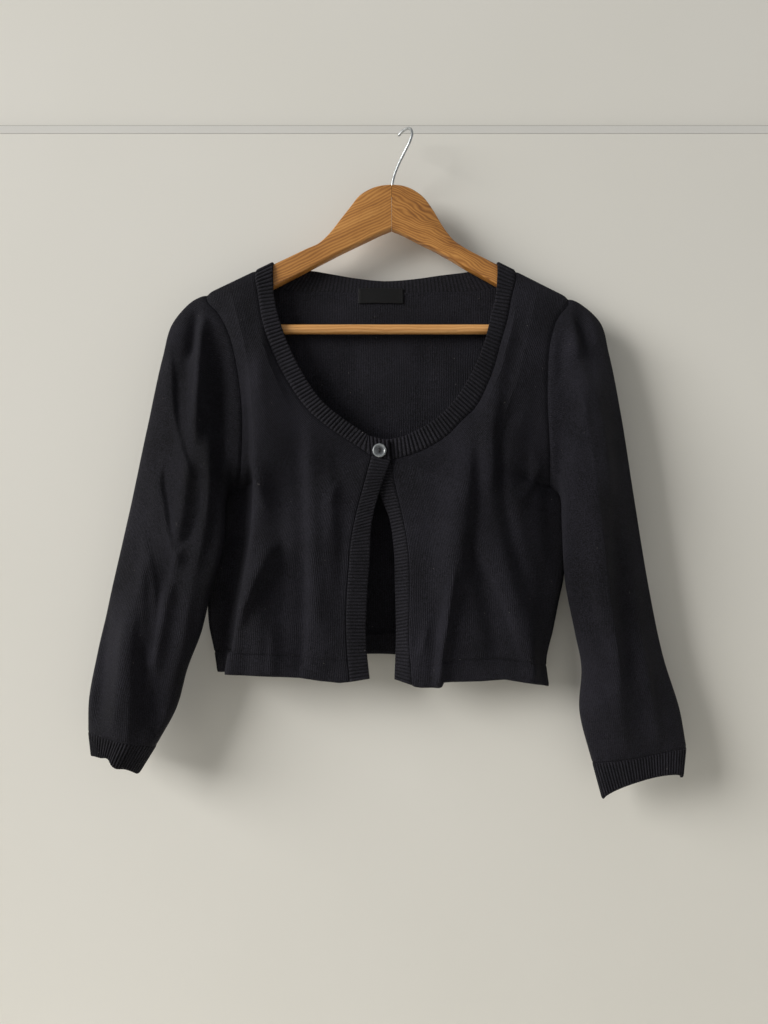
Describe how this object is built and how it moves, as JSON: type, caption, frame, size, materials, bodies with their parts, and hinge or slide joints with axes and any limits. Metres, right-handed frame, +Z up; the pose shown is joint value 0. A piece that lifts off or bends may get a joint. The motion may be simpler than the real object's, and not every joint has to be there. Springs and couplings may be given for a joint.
{
  "type": "bolero jacket on a coat hanger",
  "caption": "Short black knitted bolero jacket with a deep scooped neck, rib edges and tucked sleeve heads, hanging open below one button on a wooden coat hanger.",
  "frame": {"origin": "inside of the hook's top, where the hook rests on a rail or wall hook", "axes": "+X to the viewer's right (the wearer's left), +Y away from the viewer (the garment's front faces -Y), +Z up"},
  "size_m": [0.6721, 0.0581, 0.7935],
  "materials": {
    "black_knit": "fine black jersey knit, matt with a soft nap",
    "rib_knit": "black one-and-one rib, matt",
    "label_satin": "plain black satin",
    "grey_button": "grey, slightly pearly",
    "oiled_wood": "orange-brown clear-lacquered wood, grain along each arm",
    "pale_wood": "pale round dowel",
    "zinc_wire": "zinc-plated wire"
  },
  "bodies": {
    "root": {"right_front": "black_knit", "left_front": "black_knit", "back_panel": "black_knit", "right_sleeve": "black_knit", "left_sleeve": "black_knit", "right_cuff": "rib_knit", "left_cuff": "rib_knit", "right_front_band": "rib_knit", "left_front_band": "rib_knit", "neck_band": "rib_knit", "neck_label": "label_satin", "button": "grey_button", "hanger_half_right": "oiled_wood", "hanger_half_left": "oiled_wood", "hanger_bar": "pale_wood", "hanger_hook": "zinc_wire"}
  },
  "joints": []
}
